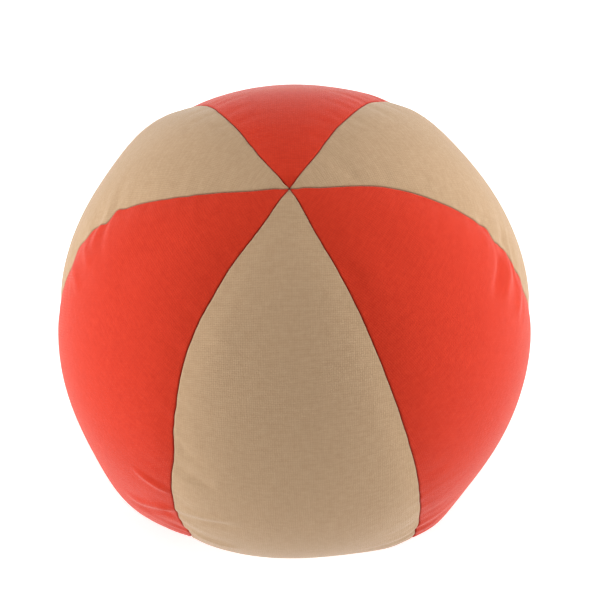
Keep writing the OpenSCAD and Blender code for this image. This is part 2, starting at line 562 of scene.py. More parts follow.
class Nodes:
    """A short hand for building a material's nodes."""

    def __init__(self, name: str) -> None:
        """Starts an empty material with a Principled shader.

        Args:
            name: Name of the material.
        """
        self.material = bpy.data.materials.new(name)
        self.material.use_nodes = True
        self.tree = self.material.node_tree
        self.tree.nodes.clear()
        self.shader = self.tree.nodes.new("ShaderNodeBsdfPrincipled")
        self.output = self.tree.nodes.new("ShaderNodeOutputMaterial")
        self.join(self.shader.outputs["BSDF"], self.output.inputs["Surface"])

    def join(self, start: bpy.types.NodeSocket, end: bpy.types.NodeSocket) -> None:
        """Links one socket to another."""
        self.tree.links.new(start, end)

    def feed(self, socket: bpy.types.NodeSocket, value: object) -> None:
        """Links or sets an input.

        Args:
            socket: The input.
            value: Another node's output, or a plain value.
        """
        if isinstance(value, bpy.types.NodeSocket):
            self.join(value, socket)
        else:
            socket.default_value = value

    def maths(self, how: str, *values: object) -> bpy.types.NodeSocket:
        """A Math node's result.

        Args:
            how: The operation.
            values: Its inputs, each a number or an output.

        Returns:
            The node's output.
        """
        node = self.tree.nodes.new("ShaderNodeMath")
        node.operation = how
        for socket, value in zip(node.inputs, values):
            self.feed(socket, value)
        return node.outputs[0]

    def remap(self, value: object, low: float, high: float, to_low: float,
              to_high: float) -> bpy.types.NodeSocket:
        """Maps one range of values to another, kept inside it.

        Args:
            value: What is mapped.
            low: Start of the range it comes from.
            high: End of that range.
            to_low: Start of the range it goes to.
            to_high: End of that range.

        Returns:
            The node's output.
        """
        node = self.tree.nodes.new("ShaderNodeMapRange")
        for socket, given in zip(node.inputs, (value, low, high, to_low, to_high)):
            self.feed(socket, given)
        return node.outputs[0]

    def noise(self, place: object, scale: float, detail: float = 2.0,
              roughness: float = 0.5) -> bpy.types.NodeSocket:
        """A Noise texture's value.

        Args:
            place: Where the texture is read.
            scale: How fine it is.
            detail: How many finer layers it has.
            roughness: How strong the finer layers are.

        Returns:
            The node's output.
        """
        node = self.tree.nodes.new("ShaderNodeTexNoise")
        self.feed(node.inputs["Vector"], place)
        node.inputs["Scale"].default_value = scale
        node.inputs["Detail"].default_value = detail
        node.inputs["Roughness"].default_value = roughness
        return node.outputs[0]

    def blend(self, share: object, first: object, second: object) -> bpy.types.NodeSocket:
        """A mix of two colours.

        Args:
            share: How much of the second colour there is.
            first: The first colour.
            second: The second colour.

        Returns:
            The node's output.
        """
        node = self.tree.nodes.new("ShaderNodeMix")
        node.data_type = "RGBA"
        self.feed(node.inputs["Factor"], share)
        self.feed(node.inputs[6], first)
        self.feed(node.inputs[7], second)
        return node.outputs[2]

    def vector(self, x: object, y: object, z: object = 0.0) -> bpy.types.NodeSocket:
        """A vector from three values.

        Args:
            x: First part.
            y: Second part.
            z: Third part.

        Returns:
            The node's output.
        """
        node = self.tree.nodes.new("ShaderNodeCombineXYZ")
        for socket, value in zip(node.inputs, (x, y, z)):
            self.feed(socket, value)
        return node.outputs[0]

    def bump(self, height: object, distance: float, strength: float) -> None:
        """Adds a Bump node to the shader's normal.

        Args:
            height: The height, from nought to one.
            distance: How high one is, in metres.
            strength: How strongly it shows.
        """
        node = self.tree.nodes.new("ShaderNodeBump")
        self.feed(node.inputs["Height"], height)
        node.inputs["Distance"].default_value = distance
        node.inputs["Strength"].default_value = strength
        self.join(node.outputs["Normal"], self.shader.inputs["Normal"])


def linear(red: float, green: float, blue: float) -> tuple[float, float, float, float]:
    """A colour given in display values from 0 to 255, as the renderer's linear colour.

    Args:
        red: Red.
        green: Green.
        blue: Blue.

    Returns:
        Red, green, blue and an opacity of one.
    """
    parts = [v / 255.0 for v in (red, green, blue)]
    flat = [p / 12.92 if p <= 0.04045 else ((p + 0.055) / 1.055) ** 2.4 for p in parts]
    return (flat[0], flat[1], flat[2], 1.0)


@dataclass(frozen=True)
class CottonFinish:
    """Plain-weave cotton: crossing threads with slubs, a faint melange and a soft fuzz."""

    name: str
    tint: tuple[float, float, float, float]
    shade: tuple[float, float, float, float]
    pale: tuple[float, float, float, float]
    painted_shade_tint: tuple[float, float, float, float]
    thread_pitch: float = 0.29 * MM
    weave_depth: float = 0.045 * MM
    sheen: float = 0.5
    specular: float = 0.1

    def build(self) -> bpy.types.Material:
        """Makes the material.

        Returns:
            The material.
        """
        n = Nodes(self.name)
        uv = n.tree.nodes.new("ShaderNodeUVMap")
        uv.uv_map = "cut"
        split = n.tree.nodes.new("ShaderNodeSeparateXYZ")
        n.join(uv.outputs[0], split.inputs[0])
        x, y = split.outputs[0], split.outputs[1]
        # Threads wander a little from their straight lines.
        drift_x = n.noise(n.vector(x, n.maths("MULTIPLY", y, 0.5)), 900.0, 2.0)
        drift_y = n.noise(n.vector(n.maths("MULTIPLY", x, 0.5), y, 7.0), 900.0, 2.0)
        wander = 1.5 * self.thread_pitch
        across = n.maths("ADD", x, n.maths("MULTIPLY", drift_x, wander))
        along = n.maths("ADD", y, n.maths("MULTIPLY", drift_y, wander))
        turn = math.pi / self.thread_pitch
        warp = n.maths("SINE", n.maths("MULTIPLY", across, turn))
        weft = n.maths("SINE", n.maths("MULTIPLY", along, turn * 0.93))
        over = n.maths("MULTIPLY", warp, weft)
        warp_height = n.maths("POWER", n.maths("ABSOLUTE", warp), 0.5)
        weft_height = n.maths("POWER", n.maths("ABSOLUTE", weft), 0.5)
        warp_on_top = n.remap(over, -0.25, 0.25, 0.0, 1.0)
        # Slubs: thick and thin places that run along single threads.
        warp_slub = n.noise(n.vector(n.maths("MULTIPLY", x, 2500.0), n.maths("MULTIPLY", y, 800.0)), 1.0, 1.5)
        weft_place = n.vector(n.maths("MULTIPLY", x, 700.0), n.maths("MULTIPLY", y, 2500.0), 3.0)
        weft_slub = n.noise(weft_place, 1.0, 1.5)
        warp_part = n.maths("MULTIPLY", warp_height, n.remap(warp_slub, 0.25, 0.75, 0.65, 1.0))
        weft_part = n.maths("MULTIPLY", weft_height, n.remap(weft_slub, 0.25, 0.75, 0.55, 0.95))
        top = n.maths("MULTIPLY", warp_part, warp_on_top)
        under = n.maths("MULTIPLY", weft_part, n.maths("SUBTRACT", 1.0, warp_on_top))
        height = n.maths("ADD", top, under)
        # Colour: darker between the threads, with thread-by-thread and cloudy variation.
        streak = n.maths("MULTIPLY_ADD", warp_slub, 0.38, n.maths("MULTIPLY", weft_slub, 0.62))
        cloud = n.noise(n.vector(x, y, 5.0), 60.0, 3.0, 0.6)
        gap = n.remap(height, 0.15, 0.8, 1.0, 0.0)
        colour = n.blend(n.remap(streak, 0.34, 0.66, 0.0, 0.34), self.tint, self.pale)
        colour = n.blend(n.remap(cloud, 0.35, 0.7, 0.0, 0.08), colour, self.shade)
        colour = n.blend(n.maths("MULTIPLY", gap, 0.28), colour, self.shade)
        # Painted shade: the cloth is darkened towards the seam grooves and the pole tips, standing in for the
        # shadow that falls there.
        seam = n.tree.nodes.new("ShaderNodeAttribute")
        seam.attribute_name = "painted_seam_shade"
        colour = n.blend(n.maths("MULTIPLY", seam.outputs["Fac"], 0.5), colour, self.painted_shade_tint)
        n.join(colour, n.shader.inputs["Base Color"])
        n.shader.inputs["Roughness"].default_value = 0.88
        n.shader.inputs["Specular IOR Level"].default_value = self.specular
        n.shader.inputs["Sheen Weight"].default_value = self.sheen
        n.shader.inputs["Sheen Roughness"].default_value = 0.32
        n.shader.inputs["Sheen Tint"].default_value = (1.0, 0.95, 0.9, 1.0)
        n.bump(height, self.weave_depth, 0.8)
        return n.material


@dataclass(frozen=True)
class ThreadFinish:
    """Twisted cotton sewing thread."""

    name: str
    tint: tuple[float, float, float, float]
    shade: tuple[float, float, float, float]
    ply_pitch: float = 0.22 * MM
    ply_depth: float = 0.02 * MM

    def build(self) -> bpy.types.Material:
        """Makes the material.

        Returns:
            The material.
        """
        n = Nodes(self.name)
        coords = n.tree.nodes.new("ShaderNodeTexCoord")
        split = n.tree.nodes.new("ShaderNodeSeparateXYZ")
        n.join(coords.outputs["Object"], split.inputs[0])
        slope = n.maths("ADD", split.outputs[0], n.maths("ADD", split.outputs[1], split.outputs[2]))
        ply = n.maths("SINE", n.maths("MULTIPLY", slope, math.tau / self.ply_pitch))
        fibre = n.noise(coords.outputs["Object"], 9000.0, 2.0)
        dark = n.remap(n.maths("MULTIPLY_ADD", ply, 0.5, fibre), 0.0, 1.2, 0.8, 0.0)
        n.join(n.blend(dark, self.tint, self.shade), n.shader.inputs["Base Color"])
        n.shader.inputs["Roughness"].default_value = 0.6
        n.shader.inputs["Sheen Weight"].default_value = 0.3
        n.bump(ply, self.ply_depth, 0.6)
        return n.material


@dataclass(frozen=True)
class MilletFinish:
    """Dry millet: smooth husks whose colour differs from grain to grain."""

    name: str
    tint: tuple[float, float, float, float]
    pale: tuple[float, float, float, float]
    shade: tuple[float, float, float, float]

    def build(self) -> bpy.types.Material:
        """Makes the material.

        Returns:
            The material.
        """
        n = Nodes(self.name)
        coords = n.tree.nodes.new("ShaderNodeTexCoord")
        place = coords.outputs["Object"]
        grain = n.tree.nodes.new("ShaderNodeTexVoronoi")
        n.join(place, grain.inputs["Vector"])
        grain.inputs["Scale"].default_value = 430.0
        split = n.tree.nodes.new("ShaderNodeSeparateXYZ")
        n.join(grain.outputs["Color"], split.inputs[0])
        colour = n.blend(split.outputs[0], self.tint, self.pale)
        colour = n.blend(n.remap(n.noise(place, 1900.0, 2.0), 0.45, 0.75, 0.0, 0.7), colour, self.shade)
        n.join(colour, n.shader.inputs["Base Color"])
        n.shader.inputs["Roughness"].default_value = 0.38
        n.bump(n.noise(place, 5200.0, 2.0), 0.03 * MM, 0.4)
        return n.material


@dataclass(frozen=True)
class FloorFinish:
    """Plain white paper under the ball, lit through a little from behind."""

    name: str
    tint: tuple[float, float, float, float]
    glow: float

    def build(self) -> bpy.types.Material:
        """Makes the material.

        Returns:
            The material.
        """
        n = Nodes(self.name)
        n.shader.inputs["Base Color"].default_value = self.tint
        n.shader.inputs["Roughness"].default_value = 0.9
        n.shader.inputs["Specular IOR Level"].default_value = 0.1
        n.shader.inputs["Emission Color"].default_value = (1.0, 1.0, 1.0, 1.0)
        n.shader.inputs["Emission Strength"].default_value = self.glow
        return n.material


# Each cotton's fourth colour is the painted shade laid along the seam grooves and at the pole tips.
FINISHES: dict[str, object] = {
    Cotton.RED.value: CottonFinish(
        Cotton.RED.value, linear(210, 50, 22), linear(156, 24, 10), linear(224, 66, 35),
        linear(90, 20, 10), sheen=0.3, specular=0.25),
    Cotton.TAN.value: CottonFinish(
        Cotton.TAN.value, linear(189, 157, 123), linear(146, 115, 85), linear(206, 177, 145),
        linear(96, 70, 46), sheen=0.35),
    Yarn.TAN.value: ThreadFinish(Yarn.TAN.value, linear(198, 165, 125), linear(150, 116, 80)),
    Yarn.RED.value: ThreadFinish(Yarn.RED.value, linear(205, 48, 34), linear(140, 22, 14)),
    "millet": MilletFinish("millet", linear(216, 180, 104), linear(236, 208, 142), linear(176, 132, 66)),
}


# ---------------------------------------------------------------------------------------------------------
# Pieces
# ---------------------------------------------------------------------------------------------------------


def settle(piece: bpy.types.Object, finish: bpy.types.Material, nodes: tuple[str, ...]) -> None:
    """Gives a finished piece its material and its place in the model.

    Args:
        piece: The piece, with its place in its mesh.
        finish: Its material.
        nodes: The CAD nodes that it stands for.
    """
    piece.data.materials.clear()
    piece.data.materials.append(finish)
    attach(piece, BODY)
    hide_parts(*nodes)
    log.info("%s: %d faces", piece.name, len(piece.data.polygons))


def closed_volume(points: np.ndarray, faces: np.ndarray) -> float:
    """Volume inside a closed mesh of quads, negative if its faces point inwards.

    Args:
        points: The vertices.
        faces: Four vertex numbers a face.

    Returns:
        Volume in cubic metres.
    """
    a, b, c, d = (points[faces[:, i]] for i in range(4))
    first = np.einsum("ij,ij->i", a, np.cross(b, c))
    second = np.einsum("ij,ij->i", a, np.cross(c, d))
    return float(first.sum() + second.sum()) / 6.0


def new_piece(name: str, points: np.ndarray, faces: np.ndarray, cut: np.ndarray | None = None,
              painted_seam_shade: np.ndarray | None = None) -> bpy.types.Object:
    """Makes a smooth mesh object from quads.

    Args:
        name: Name of the piece.
        points: Its vertices, in metres.
        faces: Four vertex numbers a face, turned either way; they are turned outwards here.
        cut: Each vertex's place on the flat cloth, in metres, for the UV map.
        painted_seam_shade: How much painted shade darkens each vertex, from nought to one, strongest along
            the seam grooves and at the pole tips.

    Returns:
        The object, linked to the scene.
    """
    if closed_volume(points, faces) < 0:
        faces = faces[:, ::-1]
    mesh = bpy.data.meshes.new(name)
    mesh.from_pydata(points.tolist(), [], faces.tolist())
    mesh.polygons.foreach_set("use_smooth", np.ones(len(mesh.polygons), bool))
    if cut is not None:
        corners = np.empty(len(mesh.loops), np.int64)
        mesh.loops.foreach_get("vertex_index", corners)
        layer = mesh.uv_layers.new(name="cut")
        layer.data.foreach_set("uv", cut[corners].astype(np.float32).ravel())
    # Stores the weight of the painted shade in the seam grooves and at the pole tips.
    if painted_seam_shade is not None:
        shade = mesh.attributes.new("painted_seam_shade", "FLOAT", "POINT")
        shade.data.foreach_set("value", painted_seam_shade.astype(np.float32))
    mesh.update()
    piece = bpy.data.objects.new(name, mesh)
    bpy.context.scene.collection.objects.link(piece)
    return piece


@dataclass
class Gore:
    """One gore: its outer face, the folds at its two seams and the allowances turned in along them."""

    number: int
    name: str
    cloth: Cotton
    form: BallForm
    thickness: float = 0.40 * MM
    fold_radius: float = 0.26 * MM
    inner_radius: float = 0.05 * MM
    allowance: float = 4.5 * MM
    seam_gap: float = 0.005 * MM
    # Widths of the painted shade along each seam groove and round the pole tips.
    seam_shade: float = 0.09 * MM
    pole_shade: float = 0.35 * MM
    wander_room: float = 3 * MM
    row_step: float = 0.36 * MM
    tip_start: float = 0.15 * MM
    middle_columns: int = 58
    fold_columns: int = 5
    allowance_columns: int = 6

    def polar_rows(self) -> np.ndarray:
        """Polar angles of the rows, closer together at the tips.

        Returns:
            Angles from the upper pole.
        """
        half = math.pi / 2 * self.form.radius
        count = int(round(2.0 * half / self.row_step))
        even = np.linspace(-1.0, 1.0, count)
        run = half + (half - self.tip_start) * (0.94 * even + 0.06 * np.sin(even * math.pi / 2))
        return run / self.form.radius

    def cross_section(self) -> tuple[np.ndarray, ...]:
        """The fold and allowance at one edge, from its free end up to the outer face.

        Returns:
            Distance from the seam and depth of the outer wall, then of the inner wall, in metres.
        """
        share = np.linspace(1.0, 0.0, self.allowance_columns, endpoint=False)
        bend = np.linspace(math.pi / 2, 0.0, self.fold_columns)
        corner = self.thickness + self.inner_radius
        out_x = np.concatenate([0 * share, self.fold_radius * (1 - np.sin(bend))])
        out_z = np.concatenate([self.fold_radius + self.allowance * share,
                                self.fold_radius * (1 - np.cos(bend))])
        in_x = np.concatenate([0 * share + self.thickness, corner - self.inner_radius * np.sin(bend)])
        in_z = np.concatenate([corner + (self.fold_radius + self.allowance - corner) * share,
                               corner - self.inner_radius * np.cos(bend)])
        return out_x, out_z, in_x, in_z

    def allowance_share(self, seam: Seam, polar: np.ndarray) -> np.ndarray:
        """How much of the full allowance is left at each row, because it is trimmed near the poles."""
        run = self.form.radius * np.minimum(polar, math.pi - polar)
        return 0.06 + 0.94 * smooth_step(run, 0.6 * seam.trim, 1.6 * seam.trim)

    def walls(self) -> tuple[np.ndarray, np.ndarray, np.ndarray, np.ndarray]:
        """The two walls of the cloth.

        Returns:
            Points of the outer wall, points of the inner wall, places on the flat cloth and the weight of the
            painted shade along the seams and at the pole tips, each by row and column.
        """
        form = self.form
        polar = self.polar_rows()[:, None]
        left, right = form.seams[(self.number - 1) % GORES], form.seams[self.number]
        a = left.azimuth_at(polar, form.radius)
        b = right.azimuth_at(polar, form.radius)
        b = a + (b - a) % math.tau
        around = form.radius * np.sin(polar)
        width = around * (b - a)
        squeeze = np.minimum(1.0, width / (2.6 * (self.thickness + self.inner_radius)))
        out_x, out_z, in_x, in_z = self.cross_section()
        spread = np.linspace(-1.0, 1.0, self.middle_columns + 2)[1:-1]
        share = 0.5 + 0.5 * np.sin(spread * math.pi / 2) * 0.45 + 0.5 * spread * 0.55
        fold = self.fold_radius * squeeze
        walls = []
        for x, z in ((out_x, out_z), (in_x, in_z)):
            edge_x = (x[None, :] + self.seam_gap) * squeeze
            middle = edge_x[:, -1:] + (width - 2 * edge_x[:, -1:]) * share[None, :]
            depth_left = self.edge_depth(z, left, polar, squeeze)
            depth_right = self.edge_depth(z, right, polar, squeeze)
            reach = np.concatenate([edge_x, middle, (width - edge_x)[:, ::-1]], axis=1)
            flat = np.full_like(middle, 1.0) * (z[-1] * squeeze)
            depth = np.concatenate([depth_left, flat, depth_right[:, ::-1]], axis=1)
            azimuth = a + reach / around
            rows = np.broadcast_to(polar, reach.shape)
            out = form.distance(rows, azimuth, self.number, reach / width)
            walls.append(form.place(rows, azimuth, out - depth))
            if x is out_x:
                turned_in = np.maximum(depth - fold, 0.0) * np.where(reach < width / 2, -1.0, 1.0)
                cut = self.lay_flat(rows, azimuth, turned_in)
                # Weight of the painted shade: darkest in the seam grooves and in the notch where the gores'
                # tips meet.
                near = bell(np.minimum(reach, width - reach), self.seam_shade)
                near = np.maximum(near, bell(form.radius * np.minimum(rows, math.pi - rows), self.pole_shade))
        return walls[0], walls[1], cut, near

    def lay_flat(self, polar: np.ndarray, azimuth: np.ndarray, turned_in: np.ndarray) -> np.ndarray:
        """Places on the flat cloth, whose lengthwise threads follow the gore's middle line.

        Args:
            polar: Angle from the upper pole.
            azimuth: Direction round the ball.
            turned_in: How far past the edge of the outer face a point lies, with its side's sign.

        Returns:
            Distance across and along the cloth, in metres.
        """
        aside = azimuth - (FRONT + self.number * GORE_ANGLE)
        aside = (aside + math.pi) % math.tau - math.pi
        across = np.arcsin(np.clip(np.sin(polar) * np.sin(aside), -1.0, 1.0))
        along = np.arctan2(np.cos(polar), np.sin(polar) * np.cos(aside))
        return np.stack([self.form.radius * across + turned_in, self.form.radius * along], axis=-1)

    def edge_depth(self, z: np.ndarray, seam: Seam, polar: np.ndarray, squeeze: np.ndarray) -> np.ndarray:
        """Depth of the fold and allowance at every row.

        Args:
            z: Depth along the cross-section at full size.
            seam: The seam.
            polar: Angle from the upper pole.
            squeeze: How much the section shrinks at each row.

        Returns:
            Depth in metres, by row and column.
        """
        corner = z[-self.fold_columns]
        beyond = np.maximum(z - corner, 0.0)[None, :] * self.allowance_share(seam, polar)
        return np.minimum(z, corner)[None, :] * squeeze + beyond

    def flat_area(self) -> float:
        """Area of the flat piece of cloth, in square metres.

        Returns:
            Area in square metres.
        """
        polar = self.polar_rows()
        left, right = self.form.seams[(self.number - 1) % GORES], self.form.seams[self.number]
        a = left.azimuth_at(polar, self.form.radius)
        b = right.azimuth_at(polar, self.form.radius)
        width = self.form.radius * np.sin(polar) * ((b - a) % math.tau)
        extra = self.allowance * (self.allowance_share(left, polar) + self.allowance_share(right, polar))
        return float(np.trapz(width + extra, self.form.radius * polar))

    def build(self) -> bpy.types.Object:
        """Makes the gore's closed mesh.

        Returns:
            The piece.
        """
        outer, inner, cut, near = self.walls()
        rows, columns = outer.shape[:2]
        number = np.arange(rows * columns).reshape(rows, columns)
        below = number + rows * columns

        def strip(p: np.ndarray, q: np.ndarray, r: np.ndarray, s: np.ndarray) -> np.ndarray:
            """Quads from the numbers of their four corners."""
            return np.stack([p.ravel(), q.ravel(), r.ravel(), s.ravel()], axis=1)

        faces = np.vstack([
            strip(number[:-1, :-1], number[1:, :-1], number[1:, 1:], number[:-1, 1:]),
            strip(below[:-1, :-1], below[:-1, 1:], below[1:, 1:], below[1:, :-1]),
            strip(number[0, :-1], number[0, 1:], below[0, 1:], below[0, :-1]),
            strip(number[-1, :-1], below[-1, :-1], below[-1, 1:], number[-1, 1:]),
            strip(number[:-1, 0], below[:-1, 0], below[1:, 0], number[1:, 0]),
            strip(number[:-1, -1], number[1:, -1], below[1:, -1], below[:-1, -1]),
        ])
        points = np.vstack([outer.reshape(-1, 3), inner.reshape(-1, 3)])
        flat = np.vstack([cut.reshape(-1, 2), cut.reshape(-1, 2)])
        # The painted shade in the seams and at the pole tips, the same on both walls.
        close = np.concatenate([near.ravel(), near.ravel()])
        return new_piece(self.name + "_cotton", points, faces, flat, close)

    def dress(self, piece: bpy.types.Object, finish: bpy.types.Material) -> None:
        """Args:
            piece: The finished mesh object.
            finish: Its material.
        """
        settle(piece, finish, (self.name,))
        area = self.flat_area()


def group_socket(tree: bpy.types.NodeTree, name: str, kind: str) -> None:
    """Adds a named input to a node group."""
    tree.interface.new_socket(name, in_out="INPUT", socket_type=kind)


class GeometryTree:
    """A short hand for building a Geometry Nodes group that ends in Realize Instances and Set Material."""

    def __init__(self, name: str, inputs: dict[str, str]) -> None:
        """Starts the group.

        Args:
            name: Name of the group.
            inputs: Kind of socket for each named input, besides the geometry.
        """
        self.tree = bpy.data.node_groups.new(name, "GeometryNodeTree")
        group_socket(self.tree, "Geometry", "NodeSocketGeometry")
        for label, kind in inputs.items():
            group_socket(self.tree, label, kind)
        group_socket(self.tree, "Material", "NodeSocketMaterial")
        self.tree.interface.new_socket("Geometry", in_out="OUTPUT", socket_type="NodeSocketGeometry")
        self.given = self.tree.nodes.new("NodeGroupInput").outputs

    def add(self, kind: str, inputs: dict[str, object] | None = None, **options: object) -> bpy.types.Node:
        """Adds a node.

        Args:
            kind: The node's type.
            inputs: Value or output for each named input.
            options: Settings of the node.

        Returns:
            The node.
        """
        node = self.tree.nodes.new(kind)
        for key, value in options.items():
            setattr(node, key, value)
        for label, value in (inputs or {}).items():
            socket = node.inputs[label]
            if isinstance(value, bpy.types.NodeSocket):
                self.tree.links.new(value, socket)
            else:
                socket.default_value = value
        return node

    def maths(self, how: str, *values: object) -> bpy.types.NodeSocket:
        """A Math node's result."""
        return self.add("ShaderNodeMath", dict(enumerate(values)), operation=how).outputs[0]

    def finish(self, shape: bpy.types.NodeSocket) -> None:
        """Realizes the instances, sets the material and ends the group.

        Args:
            shape: The geometry to finish.
        """
        real = self.add("GeometryNodeRealizeInstances", {"Geometry": shape}).outputs[0]
        smooth = self.add("GeometryNodeSetShadeSmooth", {"Geometry": real}).outputs[0]
        painted = self.add("GeometryNodeSetMaterial",
                           {"Geometry": smooth, "Material": self.given["Material"]})
        end = self.tree.nodes.new("NodeGroupOutput")
        self.tree.links.new(painted.outputs[0], end.inputs[0])

    def apply(self, start: bpy.types.Mesh, name: str, values: dict[str, object]) -> bpy.types.Object:
        """Runs the group on a mesh and keeps the result as a plain object.

        Args:
            start: The mesh that goes in.
            name: Name of the piece that comes out.
            values: Value of each named input.

        Returns:
            The finished object, linked to the scene.
        """
        guide = bpy.data.objects.new(name + "_guide", start)
        bpy.context.scene.collection.objects.link(guide)
        modifier = guide.modifiers.new("shape", "NODES")
        modifier.node_group = self.tree
        for item in self.tree.interface.items_tree:
            if item.item_type == "SOCKET" and item.in_out == "INPUT" and item.name in values:
                modifier[item.identifier] = values[item.name]
        guide.update_tag()
        seen = guide.evaluated_get(bpy.context.evaluated_depsgraph_get())
        mesh = bpy.data.meshes.new_from_object(seen)
        bpy.data.objects.remove(guide)
        mesh.name = name
        piece = bpy.data.objects.new(name, mesh)
        bpy.context.scene.collection.objects.link(piece)
        return piece


def stitch_tree() -> GeometryTree:
    """Thread that follows a line and swings to the side and back with every stitch.

    The line's own attribute "aside" points across the seam, "Low" and "High" are how far across the thread
    lies in the holes and between them, and a "Both" of one makes it swing to both sides in turn.

    Returns:
        The group.
    """
    names = ("Stitch Length", "Low", "High", "Both", "Thickness", "Lock Thickness")
    g = GeometryTree("stitches", {n: "NodeSocketFloat" for n in names})
    given = g.given
    line = g.add("GeometryNodeMeshToCurve", {"Mesh": given["Geometry"]}).outputs[0]
    step = g.maths("DIVIDE", given["Stitch Length"], POINTS_PER_STITCH)
    resample = g.add("GeometryNodeResampleCurve", {"Curve": line, "Length": step}, mode="LENGTH")
    run = g.add("GeometryNodeSplineParameter").outputs["Length"]
    turn = g.maths("SINE", g.maths("MULTIPLY", g.maths("DIVIDE", run, given["Stitch Length"]), math.pi))
    steep = g.maths("MAXIMUM", g.maths("MINIMUM", g.maths("MULTIPLY", turn, STITCH_STEEPNESS), 1.0), -1.0)
    one_side = g.maths("ABSOLUTE", steep)
    spread = g.maths("SUBTRACT", given["High"], given["Low"])
    rise = g.maths("ADD", given["Low"], g.maths("MULTIPLY", one_side, spread))
    swing = g.maths("MULTIPLY", steep, given["High"])
    keep = g.maths("SUBTRACT", 1.0, given["Both"])
    across = g.maths("ADD", g.maths("MULTIPLY", rise, keep), g.maths("MULTIPLY", swing, given["Both"]))
    aside = g.add("GeometryNodeInputNamedAttribute", {"Name": "aside"}, data_type="FLOAT_VECTOR").outputs[0]
    shift = g.add("ShaderNodeVectorMath", operation="SCALE")
    g.tree.links.new(aside, shift.inputs[0])
    g.tree.links.new(across, shift.inputs["Scale"])
    moved = g.add("GeometryNodeSetPosition", {"Geometry": resample.outputs[0], "Offset": shift.outputs[0]})
    swell = g.maths("SUBTRACT", given["Thickness"], given["Lock Thickness"])
    thick = g.maths("ADD", given["Lock Thickness"], g.maths("MULTIPLY", one_side, swell))
    ring = g.add("GeometryNodeCurvePrimitiveCircle", {"Resolution": 8, "Radius": 1.0}).outputs[0]
    tube = g.add("GeometryNodeCurveToMesh",
                 {"Curve": moved.outputs[0], "Profile Curve": ring, "Scale": thick, "Fill Caps": True})
    g.finish(tube.outputs[0])
    return g


def grain_tree() -> GeometryTree:
    """Grains scattered over a surface, each turned its own way.

    Returns:
        The group.
    """
    g = GeometryTree("grains", {"Grain Radius": "NodeSocketFloat", "Spacing": "NodeSocketFloat",
                                "Seed": "NodeSocketInt"})
    given = g.given
    spots = g.add("GeometryNodeDistributePointsOnFaces",
                  {"Mesh": given["Geometry"], "Distance Min": given["Spacing"], "Density Max": 4.0e5,
                   "Seed": given["Seed"]}, distribute_method="POISSON")
    grain = g.add("GeometryNodeMeshUVSphere", {"Segments": 7, "Rings": 5, "Radius": given["Grain Radius"]})
    turn = g.add("FunctionNodeRandomValue", {"Seed": given["Seed"]}, data_type="FLOAT_VECTOR")
    turn.inputs[0].default_value = (0.0, 0.0, 0.0)
    turn.inputs[1].default_value = (math.tau, math.tau, math.tau)
    size = g.add("FunctionNodeRandomValue", {"Seed": 11}, data_type="FLOAT_VECTOR")
    size.inputs[0].default_value = (0.86, 0.80, 0.74)
    size.inputs[1].default_value = (1.0, 0.94, 0.88)
    placed = g.add("GeometryNodeInstanceOnPoints",
                   {"Points": spots.outputs["Points"], "Instance": grain.outputs["Mesh"],
                    "Rotation": turn.outputs[0], "Scale": size.outputs[0]})
    both = g.add("GeometryNodeJoinGeometry")
    g.tree.links.new(placed.outputs[0], both.inputs[0])
    g.tree.links.new(given["Geometry"], both.inputs[0])
    g.finish(both.outputs[0])
    return g


@dataclass(frozen=True)
class Stretch:
    """A stretch of one seam, between two polar angles in the order that the thread takes them."""

    seam: Seam
    start: float
    end: float
    flip: int = 1


@dataclass
class SeamThread:
    """One sewing thread that follows one or more stretches of seam under the cloth."""

    name: str
    yarn: Yarn
    side: Side
    stretches: tuple[Stretch, ...]
    form: BallForm
    stitch: float = 2.5 * MM
    depth: float = 0.9 * MM
    thread: float = 0.28 * MM
    lock: float = 0.18 * MM
    cloth: float = 0.405 * MM
    both_sides: bool = False
    point_step: float = 0.5 * MM

    def line(self) -> tuple[np.ndarray, np.ndarray]:
        """The stitch line and the direction across the seam at each of its points.

        Returns:
            Points of the line and a unit vector across the seam at each.
        """
        places, asides = [], []
        for stretch in self.stretches:
            run = abs(stretch.end - stretch.start) * self.form.radius
            polar = np.linspace(stretch.start, stretch.end, max(2, int(run / self.point_step)))
            azimuth = stretch.seam.azimuth_at(polar, self.form.radius)
            out = self.form.distance(polar, azimuth, stretch.seam.number, np.ones_like(polar)) - self.depth
            places.append(self.form.place(polar, azimuth, out))
            across = np.stack([-np.sin(azimuth), np.cos(azimuth), 0 * azimuth], axis=1)
            asides.append(across * self.side.value * stretch.flip)
        line, across = np.vstack(places), np.vstack(asides)
        apart = np.linalg.norm(np.diff(line, axis=0), axis=1)
        keep = np.concatenate([[True], apart > 0.3 * self.point_step])
        return line[keep], across[keep]

    def build(self, tree: GeometryTree, finish: bpy.types.Material) -> bpy.types.Object:
        """Makes the thread.

        Args:
            tree: The Geometry Nodes group that shapes it.
            finish: Its material.

        Returns:
            The piece.
        """
        line, across = self.line()
        mesh = bpy.data.meshes.new(self.name + "_line")
        mesh.from_pydata(line.tolist(), [(i, i + 1) for i in range(len(line) - 1)], [])
        aside = mesh.attributes.new("aside", "FLOAT_VECTOR", "POINT")
        aside.data.foreach_set("vector", across.astype(np.float32).ravel())
        values = {
            "Stitch Length": self.stitch, "Low": self.lock / 2, "High": self.cloth + self.thread / 2,
            "Both": 1.0 if self.both_sides else 0.0, "Thickness": self.thread / 2,
            "Lock Thickness": self.lock / 2, "Material": finish,
        }
        return tree.apply(mesh, self.name + "_yarn", values)

    def dress(self, piece: bpy.types.Object, finish: bpy.types.Material) -> None:
        """Finishes the thread."""
        settle(piece, finish, (self.name,))


